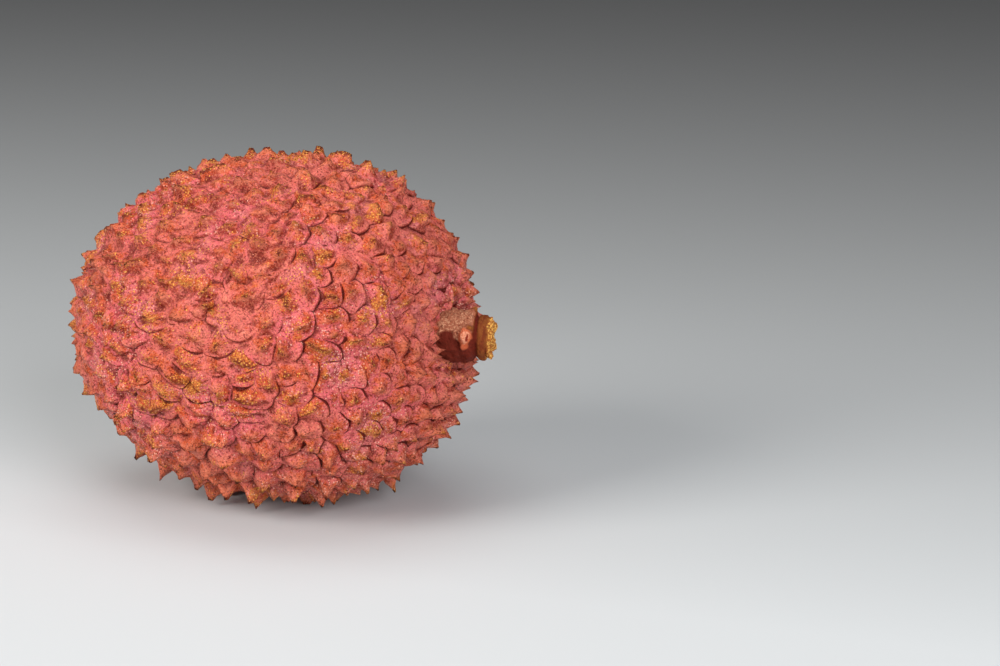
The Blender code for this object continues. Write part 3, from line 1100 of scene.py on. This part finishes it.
    def bend_pattern(self) -> np.ndarray:
        """Bends the pattern, so that nothing runs straight and tips hang over their free edge.

        Returns:
            Each vertex's direction, bent.
        """
        shift = np.zeros_like(self.spots)
        for size, length in ((self.bend, self.bend_length), (self.wobble, self.wobble_length)):
            for axis in range(3):
                shift[:, axis] += size * waves(self.places, length, axis + round(length / MM))
        droop = self.droop_least + (self.droop_most - self.droop_least) * self.droops
        reach = np.exp(-((self.ridge_gap / self.droop_reach) ** 2)) * self.of_form("droop")
        shift += (reach * droop[self.owner] * self.on_scale)[:, None] * self.falls[self.owner]
        return unit(self.places + shift)

    def raise_scales(self) -> np.ndarray:
        """Works out how high every vertex stands.

        Returns:
            Heights over the smooth body, in metres.
        """
        inward, gap, ridge_gap, places = self.inward, self.gap, self.ridge_gap, self.places
        roundness = self.of_form("roundness") * (1 + 0.45 * waves(places, 1.9 * MM, 3))
        dome = 1 - (1 - inward) ** np.clip(roundness, 1.0, 6.0)
        hang = smooth_step(-0.2, 0.8, self.free) * self.of_form("droop")
        closed = 1 - smooth_step(0.05, 0.35, self.groove_share)
        flare = self.of_form("flare") + 0.55 * hang + closed * (0.75 + 0.25 * hang)
        flare = np.clip(flare, 0, 0.95)
        body = (1 - flare) * dome + flare * inward ** (1.15 + 0.9 * hang)
        steep = self.facet_share * smooth_step(*self.facet_zone, self.spots[:, 0])
        body += steep * (inward - body)
        point = self.of_form("point")
        share = (1 - point) * body + point * np.exp(-ridge_gap / self.point_width)
        share -= self.of_form("sink") * smooth_step(0.30, 0.75, inward)

        skin = self.pattern.skin
        axis_gap = np.linalg.norm(skin.points(self.spots)[:, 1:], axis=1)
        away = np.where(self.spots[:, 0] > 0, axis_gap, 1.0)
        saddle = self.saddle_height + self.saddle_soft_gain * self.soft
        saddle = saddle * smooth_step(-0.45, 0.7, waves(places, self.saddle_length, 4))
        top = self.of_scale(self.pattern.heights) * self.of_form("height")
        top *= 1 + self.stem_thorn_gain * smooth_step(*self.stem_thorn_zone, self.spots[:, 0])
        up = self.spots[:, 2]
        top *= 1 + self.top_gain * smooth_step(*self.top_zone, up)
        low = self.low_thorn_gain * smooth_step(*self.low_thorn_zone, -up)
        top *= 1 + low * (1 - smooth_step(*self.resting_zone, -up))
        rim = self.rim_height_share
        top *= rim + (1 - rim) * smooth_step(*self.full_height, away)
        lift = saddle * (1 - share) + top * share
        lip = self.of_form("lip") * (0.3 + 0.9 * smooth_step(-0.3, 0.7, self.free))
        lift += lip * (1 - np.exp(-gap / self.lip_width)) * self.groove_share * (1 - inward) ** 2
        lift -= self.groove_depth * self.groove
        step = self.free * (1 - inward) ** 1.5 * (1 - np.exp(-gap / self.shingle_width))
        lift += self.shingle * step * self.groove_share
        lift += self.spur_height * self.spurs * (0.45 + 0.55 * smooth_step(-0.2, 0.5, up))

        loose = 1 + (self.of_form("wrinkles") - 1) * smooth_step(0, 0.4 * MM, gap)
        loose *= 1 - self.groove_share * (1 - smooth_step(0, 0.35 * MM, gap))
        loose *= 0.35 + 0.65 * smooth_step(0, 0.5 * MM, ridge_gap)
        loose *= 1 - 0.75 * steep
        lift += loose * self.lump * waves(places, self.lump_length, 8)
        lift += loose * self.crumple * waves(places, self.crumple_length, 9)
        turned = self.tint_turn * self.of_scale(self.tints)
        spin = self.furrows * self.angle + turned + 2.5 * waves(places, 1.5 * MM, 10)
        lift += loose * self.furrow * np.sin(spin) * smooth_step(0.1, 0.5, inward)
        # Flat faces: each scale is sunk a little between the edges that run to its point.
        sides = np.abs(np.sin(self.facet_turn * self.angle + turned))
        sunk = self.facet_depth * (self.facet_least + steep) * sides
        lift -= sunk * 4 * inward * (1 - inward) * self.on_scale

        along = places / [self.fold_stretch, 1, 1]
        ridged = 1 - np.abs(waves(along, self.fold_length, 15)) - 0.62
        fine_folds = 0.4 * (1 - np.abs(waves(along, 0.5 * self.fold_length, 16)) - 0.62)
        lift += self.fold * (1 - 0.7 * steep) * (0.35 + 0.65 * self.soft) * (ridged + fine_folds)

        pit = skin.pit_depth * np.exp(-((away / skin.pit_radius) ** skin.pit_steepness))
        from_shoulder = (away - self.shoulder_radius) / self.shoulder_width
        lift += self.shoulder_height * np.exp(-(from_shoulder**2))
        lift += self.pit_fill * pit * smooth_step(*self.pit_wall, away)
        bald = 1 - smooth_step(*self.bald_edge, away)
        return lift * (1 - bald) + (0.10 + 0.11 * waves(places, 0.6 * MM, 12)) * MM * bald

    def cavities(self) -> np.ndarray:
        """Works out how far each vertex lies below the surface around it, for painted shade in
        hollows and painted highlight on edges.

        Returns:
            Values from -1 on an edge to 1 in a hollow.
        """
        corners = np.array(self.faces)
        ends = np.concatenate([corners[:, [0, 1]], corners[:, [1, 2]], corners[:, [2, 0]]])
        ends = np.concatenate([ends, ends[:, ::-1]])
        counts = np.bincount(ends[:, 0])
        level = self.lift
        for _ in range(self.cavity_rounds):
            level = np.bincount(ends[:, 0], weights=level[ends[:, 1]]) / counts
        return np.clip((level - self.lift) / self.cavity_depth, -1, 1)

    def facing(self, piece: bpy.types.Object) -> np.ndarray:
        """Works out how far each vertex's surface turns the way that scales overlap.

        Args:
            piece: The rind's object, in place.

        Returns:
            Values from 0 to 1, which is on the undersides of crests, where the material paints shade.
        """
        normals = np.empty(3 * len(self.spots), np.float32)
        piece.data.vertex_normals.foreach_get("vector", normals)
        normals = normals.reshape(-1, 3) @ self.turn()
        return smooth_step(0.0, 0.75, np.sum(normals * self.fall_at(self.spots), axis=1))

    def paint_on(self, piece: bpy.types.Object) -> None:
        """Stores what the rind's material reads: tips, creases, hollows, bald ring and fibres, and
        the marks for painted shade and painted highlight.

        Args:
            piece: The rind's object, in place.
        """
        tint = self.of_scale(self.tints)
        side = smooth_step(-0.5, 0.5, np.cos(self.angle - self.of_scale(self.corky_sides)))
        sided = 0.45 + 0.55 * np.maximum(side, np.exp(-self.ridge_gap / (0.25 * MM)))
        near = self.on_scale * self.of_form("cork") * (0.6 + 0.4 * tint) * sided
        near *= 1 - 0.6 * smooth_step(0.82, 0.93, self.spots[:, 0])
        below = self.facing(piece)
        near *= 1.05 - 0.45 * below
        tips = np.maximum(near * np.exp(-self.ridge_gap / (0.60 * MM)), 0.75 * self.spurs)
        paint(piece, "tip", tips)
        # Painted shade goes on the undersides of crests.
        paint(piece, "under", below)
        paint(piece, "sleek", smooth_step(*self.facet_zone, self.spots[:, 0]))
        # The crease mark carries the painted shade under the scales' free edges.
        paint(piece, "crease", self.groove)
        # The cavity mark gives painted shade in hollows and painted highlight on edges.
        paint(piece, "cavity", self.cavities())
        paint(piece, "hollow", (1 - self.inward) ** 1.5)
        body = self.pattern.skin.points(self.spots)
        bald = self.pit_share(body, *self.bald_ring)
        paint(piece, "bald", bald)
        # The gloom mark is the dark crust and painted shade below the stalk and in the pit.
        ragged = 0.7 * MM * waves(self.places, 1.5 * MM, 17)
        beneath = smooth_step(-1.5 * MM, 0, ragged - body[:, 2])
        paint(piece, "gloom", np.maximum(bald * beneath, self.pit_share(body, *self.dark_pit)))
        low = smooth_step(0.1, 0.9, -self.spots[:, 2])
        low = low + 0.6 * smooth_step(0.5, 1.0, -self.spots[:, 0])
        paint(piece, "tint", np.clip(low + 0.35 * waves(self.places, 5 * MM, 14), 0, 1))
        reach = 1.0 + 0.35 * self.ridge_gap / MM
        offset = 7.0 * tint + 3.0 * self.owner
        spoke = np.stack([reach * np.cos(self.angle), reach * np.sin(self.angle), offset], axis=1)
        paint(piece, "spoke", spoke)


# --- The stub of the stalk -----------------------------------------------------------------------


@dataclass
class StalkStub:
    """The torn stub with its collar, calyx lobes and wart, turned round its own axis."""

    finish: DryStalk = field(default_factory=DryStalk)
    lean: float = math.radians(4)
    gap: float = 0.4 * MM
    sides: int = 120
    rings: int = 84
    # Height and radius of each ring of the outline, from the foot to the torn face, in millimetres.
    profile: tuple[tuple[float, float], ...] = (
        (0.00, 1.50), (0.50, 2.00), (0.90, 2.20), (1.35, 2.30), (1.75, 2.28),
        (2.15, 2.22), (2.60, 2.18), (3.00, 2.16), (3.40, 2.08), (3.62, 1.94),
        (3.80, 1.76), (3.93, 1.60), (4.06, 1.70), (4.22, 1.84), (4.45, 1.90),
        (4.72, 1.90), (4.82, 1.78), (4.88, 1.60), (5.00, 1.64), (5.12, 1.58),
        (5.22, 1.30), (5.16, 0.80), (5.10, 0.25),
    )
    collar_top: float = 3.55 * MM
    neck: float = 3.93 * MM
    torn_from: float = 4.80 * MM
    bend_from: float = 1.0 * MM
    bend_length: float = 1.3 * MM
    bend_angle: float = math.radians(13)
    lobes: int = 5
    lobe_height: float = 3.45 * MM
    lobe_length: float = 0.55 * MM
    lobe_spread: float = 0.34 * MM
    lobe_turn: float = math.radians(20)
    wart_turn: float = math.radians(-101)
    wart_arc: float = math.radians(19)
    wart_height: float = 3.22 * MM
    wart_spread: float = 0.55 * MM
    wart_reach: float = 0.75 * MM
    strands: int = 130
    strand_length: float = 0.32 * MM
    strand_radius: float = 0.075 * MM
    seed: int = 9

    def build(self, skin: Skin, middle: Vector) -> bpy.types.Object:
        """The stub's object, in place.

        Args:
            skin: The body that the stub stands in.
            middle: Where the body's own origin lies in the row frame.

        Returns:
            The object, with what its material reads stored on its vertices.
        """
        points, faces, marks = self.turned()
        points, faces, marks = self.with_strands(points, faces, marks)
        points = self.bent(points)
        foot = skin.stem_reach - skin.saddle_depth - skin.pit_depth + self.gap
        stand = Matrix.Translation((foot, 0, 0)) @ Matrix.Rotation(math.pi / 2 + self.lean, 4, "Y")
        world = np.array(Matrix.Translation(middle) @ Matrix.Rotation(-skin.tilt, 4, "Y") @ stand)
        points = points @ world[:3, :3].T + world[:3, 3]
        piece = add_mesh("stalk_stub_torn", points, faces, self.finish.build())
        for name, values in marks.items():
            paint(piece, name, values)
        return piece

    def bent(self, points: np.ndarray) -> np.ndarray:
        """Bends the stub away from the front above its root.

        Args:
            points: The upright stub's vertices.

        Returns:
            The same vertices, bent.
        """
        over = np.maximum(points[:, 2] - self.bend_from, 0)
        turn = self.bend_angle * np.minimum(over / self.bend_length, 1)
        straight = np.maximum(over - self.bend_length, 0)
        radius = self.bend_length / self.bend_angle
        aside = radius * (1 - np.cos(turn)) + straight * np.sin(turn) + points[:, 1] * np.cos(turn)
        along = radius * np.sin(turn) + straight * np.cos(turn) - points[:, 1] * np.sin(turn)
        return np.stack([points[:, 0], aside, points[:, 2] - over + along], axis=1)

    def turned(self) -> tuple[np.ndarray, list, dict[str, np.ndarray]]:
        """Builds the turned body with its relief.

        Returns:
            Its vertices, its faces, and what its material reads on the vertices.
        """
        line = np.array(self.profile) * MM
        length = np.concatenate([[0], np.cumsum(np.linalg.norm(np.diff(line, axis=0), axis=1))])
        share = np.linspace(0, length[-1], self.rings)
        height, radius = (np.interp(share, length, line[:, i]) for i in range(2))
        turn = np.arange(self.sides) / self.sides * math.tau
        h, t = (grid.ravel() for grid in np.meshgrid(height, turn, indexing="ij"))
        r = np.repeat(radius, self.sides)
        spots = np.stack([r * np.cos(t), r * np.sin(t), h], axis=1)

        lobe_phase = self.lobes * (t - self.lobe_turn) + 0.8 * waves(spots, 2 * MM, 20)
        lobe = (0.5 + 0.5 * np.cos(lobe_phase)) ** 4
        lobe *= 0.3 + 0.7 * (0.5 - 0.5 * np.cos(t)) ** 2
        level = np.exp(-(((h - self.lobe_height) / self.lobe_spread) ** 2))
        away = (t - self.wart_turn + math.pi) % math.tau - math.pi
        away = away + 0.14 * waves(spots, 0.5 * MM, 27)
        level_off = h - self.wart_height + 0.16 * MM * waves(spots, 0.6 * MM, 28)
        wart = np.exp(-(((away / self.wart_arc) ** 2 + (level_off / self.wart_spread) ** 2) ** 1.5))
        cleft_across, cleft_up = (away - 0.04) / 0.10, (level_off - 0.10 * MM) / (0.12 * MM)
        cleft = np.exp(-(cleft_across**2) - cleft_up**2)
        collar = 1 - smooth_step(self.collar_top, self.neck, h)
        torn = smooth_step(self.torn_from, 4.92 * MM, h + 0.12 * MM * waves(spots, 0.8 * MM, 21))
        outer = smooth_step(0.2 * MM, 1.2 * MM, r)

        grain = waves(spots * [1, 1, 0.25], 0.42 * MM, 22)
        crumbs = waves(spots, 0.55 * MM, 23) + 0.6 * waves(spots, 0.26 * MM, 24)
        out = self.lobe_length * lobe * level + self.wart_reach * wart + 0.07 * MM * grain
        out += 0.11 * MM * crumbs * (collar + 2.2 * torn + 1.6 * wart) * outer - 0.22 * MM * cleft
        up = 0.16 * MM * torn * (crumbs + waves(spots, 1.1 * MM, 25)) + 0.25 * MM * lobe * level
        ring = np.stack([np.cos(t), np.sin(t), 0 * t], axis=1)
        points = spots + out[:, None] * ring + up[:, None] * [0, 0, 1.0]

        sides = self.sides
        faces = [
            (low + i, low + (i + 1) % sides, low + sides + (i + 1) % sides, low + sides + i)
            for low in range(0, (self.rings - 1) * sides, sides)
            for i in range(sides)
        ]
        faces.append(tuple(reversed(range(sides))))
        faces.append(tuple(range((self.rings - 1) * sides, self.rings * sides)))
        # Painted shade: darker round the neck, at the foot and on the collar's lower side, which also
        # has a dark crust.
        below = smooth_step(-0.45, -0.05, np.cos(t) + 0.30 * waves(spots, 0.9 * MM, 26)) * collar
        shade = np.exp(-(((h - self.neck) / (0.20 * MM)) ** 2))
        shade = shade + 1 - smooth_step(0.6 * MM, 1.4 * MM, h) + below
        marks = {
            "collar": collar * (1 - level * lobe),
            "torn": np.clip(torn + level * lobe**1.5, 0, 1),
            "wart": wart,
            "cleft": cleft,
            "shade": np.clip(shade, 0, 1),
            "spoke": np.stack([0.5 * np.cos(t), 0.5 * np.sin(t), 1.2 * h / MM], axis=1),
        }
        return points, faces, marks

    def with_strands(
        self, points: np.ndarray, faces: list, marks: dict[str, np.ndarray]
    ) -> tuple[np.ndarray, list, dict[str, np.ndarray]]:
        """Adds the broken fibres of the torn end, each a short tapered strand rooted in the wood.

        Args:
            points: The stub's vertices so far.
            faces: Its faces so far.
            marks: What is stored on its vertices so far.

        Returns:
            The same three with the strands added.
        """
        draw = np.random.default_rng(self.seed)
        added = []
        corners = 5
        for _ in range(self.strands):
            turn = draw.uniform(0, math.tau)
            ring = draw.uniform(0.15, 1.0) ** 0.5
            root = Vector((math.cos(turn), math.sin(turn), 0)) * 1.55 * MM * ring
            root.z = draw.uniform(4.85, 5.05) * MM
            outward = draw.uniform(0.1, 0.9) * ring**2
            aim = Vector((math.cos(turn) * outward, math.sin(turn) * outward, 1.0))
            aim += Vector(draw.uniform(-0.45, 0.45, 3))
            aim.normalize()
            length = self.strand_length * draw.uniform(0.45, 1.0)
            thick = self.strand_radius * draw.uniform(0.6, 1.3)
            turned = aim.to_track_quat("Z", "Y").to_matrix()
            first = len(points) + len(added)
            for level, width in ((0.0, 1.0), (0.5, 0.9), (0.95, 0.45)):
                for corner in range(corners):
                    angle = corner / corners * math.tau
                    across = math.cos(angle) * thick * width, math.sin(angle) * thick * width
                    spot = Vector((*across, level * length))
                    spot.x += 0.25 * thick * math.sin(5 * level + turn)
                    added.append(root + turned @ spot)
            for band in (0, corners):
                for i in range(corners):
                    here, there = first + band + i, first + band + (i + 1) % corners
                    faces.append((here, there, there + corners, here + corners))
            faces.append(tuple(first + i for i in reversed(range(corners))))
            faces.append(tuple(first + 2 * corners + i for i in range(corners)))
        spots = np.array([point[:] for point in added])
        ones, zeros = np.ones(len(spots)), np.zeros(len(spots))
        known = {"torn": ones, "spoke": spots / MM}
        marks = {
            name: np.concatenate([values, known.get(name, zeros)]) for name, values in marks.items()
        }
        return np.vstack([points, spots]), faces, marks


# --- The studio ----------------------------------------------------------------------------------


@dataclass(frozen=True)
class Softbox:
    """A square softbox: its place in metres from the fruit's middle, its side, power and colour."""

    name: str
    place: tuple[float, float, float]
    size: float
    watts: float
    colour: str


@dataclass
class Studio:
    """Paper sweep, soft lights and camera, set for the front. None of it is the object's."""

    middle: Vector
    paper: StudioPaper = field(default_factory=StudioPaper)
    lights: tuple[Softbox, ...] = (
        Softbox("left_softbox", (-0.26, -0.34, 0.23), 0.26, 2.00, "#FFFCF8"),
        Softbox("right_softbox", (0.34, -0.30, 0.20), 0.26, 1.90, "#FBFCFF"),
        Softbox("top_softbox", (-0.04, 0.04, 0.50), 0.40, 0.80, "#FFFFFF"),
    )
    air: str = "#F2F4F6"
    air_strength: float = 0.29
    azimuth: float = math.radians(25)
    elevation: float = math.radians(14)
    distance: float = 0.240
    lens: float = 100.0
    aim_right: float = 18.2 * MM
    aim_up: float = -0.9 * MM
    floor_half_width: float = 1.6
    floor_front: float = -1.2
    floor_back: float = 0.9
    bend_radius: float = 0.5
    wall_height: float = 1.2
    bend_steps: int = 24

    def build(self) -> None:
        """Sets up paper, lights, world and camera."""
        self.add_paper()
        for softbox in self.lights:
            self.add_light(softbox)
        self.add_world()
        self.add_camera()

    def add_paper(self) -> None:
        """A floor that curves up into a wall behind the object."""
        turn = np.linspace(0, math.pi / 2, self.bend_steps)
        ys = self.floor_back + self.bend_radius * np.sin(turn)
        zs = self.bend_radius * (1 - np.cos(turn))
        ys = np.concatenate([[self.floor_front], ys, ys[-1:]])
        zs = np.concatenate([[0.0], zs, [self.wall_height]])
        left = [(-self.floor_half_width, y, z) for y, z in zip(ys, zs)]
        right = [(self.floor_half_width, y, z) for y, z in zip(ys, zs)]
        count = len(left)
        faces = [(i, i + count, i + count + 1, i + 1) for i in range(count - 1)]
        floor = add_mesh("studio_paper", np.array(left + right), faces, self.paper.build())

    def add_light(self, softbox: Softbox) -> None:
        """Adds a softbox that is aimed at the fruit.

        Args:
            softbox: Its place, size, power and colour.
        """
        light = bpy.data.lights.new(softbox.name, "AREA")
        light.energy, light.size = softbox.watts, softbox.size
        light.color = linear(softbox.colour)[:3]
        box = bpy.data.objects.new(softbox.name, light)
        bpy.context.scene.collection.objects.link(box)
        place = Vector(softbox.place)
        box.location = self.middle + place
        box.rotation_euler = place.to_track_quat("Z", "Y").to_euler()

    def add_world(self) -> None:
        """Even grey light from all round."""
        world = bpy.data.worlds.new("studio_air")
        world.use_nodes = True
        background = world.node_tree.nodes["Background"]
        background.inputs["Color"].default_value = linear(self.air)
        background.inputs["Strength"].default_value = self.air_strength
        bpy.context.scene.world = world

    def add_camera(self) -> None:
        """The camera stands low in front, and the fruit lies left of the picture's middle."""
        back = Vector((
            math.sin(self.azimuth) * math.cos(self.elevation),
            -math.cos(self.azimuth) * math.cos(self.elevation),
            math.sin(self.elevation),
        ))
        right = Vector((math.cos(self.azimuth), math.sin(self.azimuth), 0))
        aim = self.middle + right * self.aim_right + back.cross(right) * self.aim_up
        data = bpy.data.cameras.new("camera")
        data.lens, data.clip_start, data.clip_end = self.lens, 0.01, 20
        camera = bpy.data.objects.new("camera", data)
        bpy.context.scene.collection.objects.link(camera)
        camera.location = self.middle + back * self.distance
        camera.rotation_euler = (camera.location - aim).to_track_quat("Z", "Y").to_euler()
        bpy.context.scene.camera = camera


def main() -> None:
    """Builds the rind, the stub and the studio in order, and reports each piece."""
    logging.basicConfig(level=logging.INFO, format="%(name)s: %(message)s")
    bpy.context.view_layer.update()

    rind = Rind(ScalePattern(Skin()))
    rind_piece = rind.build()
    stub_piece = StalkStub().build(rind.pattern.skin, rind.middle)
    for piece, node, slot in ((rind_piece, "fruit", "rind"), (stub_piece, "stalk_stub", "stalk")):
        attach(piece, "root")
        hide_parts(node)
        triangles = sum(len(face.vertices) - 2 for face in piece.data.polygons)
        LOG.info("%s: %d triangles, stands for %s", piece.name, triangles, node)

    bpy.context.scene.view_settings.view_transform = "Standard"
    Studio(rind.middle).build()


if __name__ == "__main__":
    main()
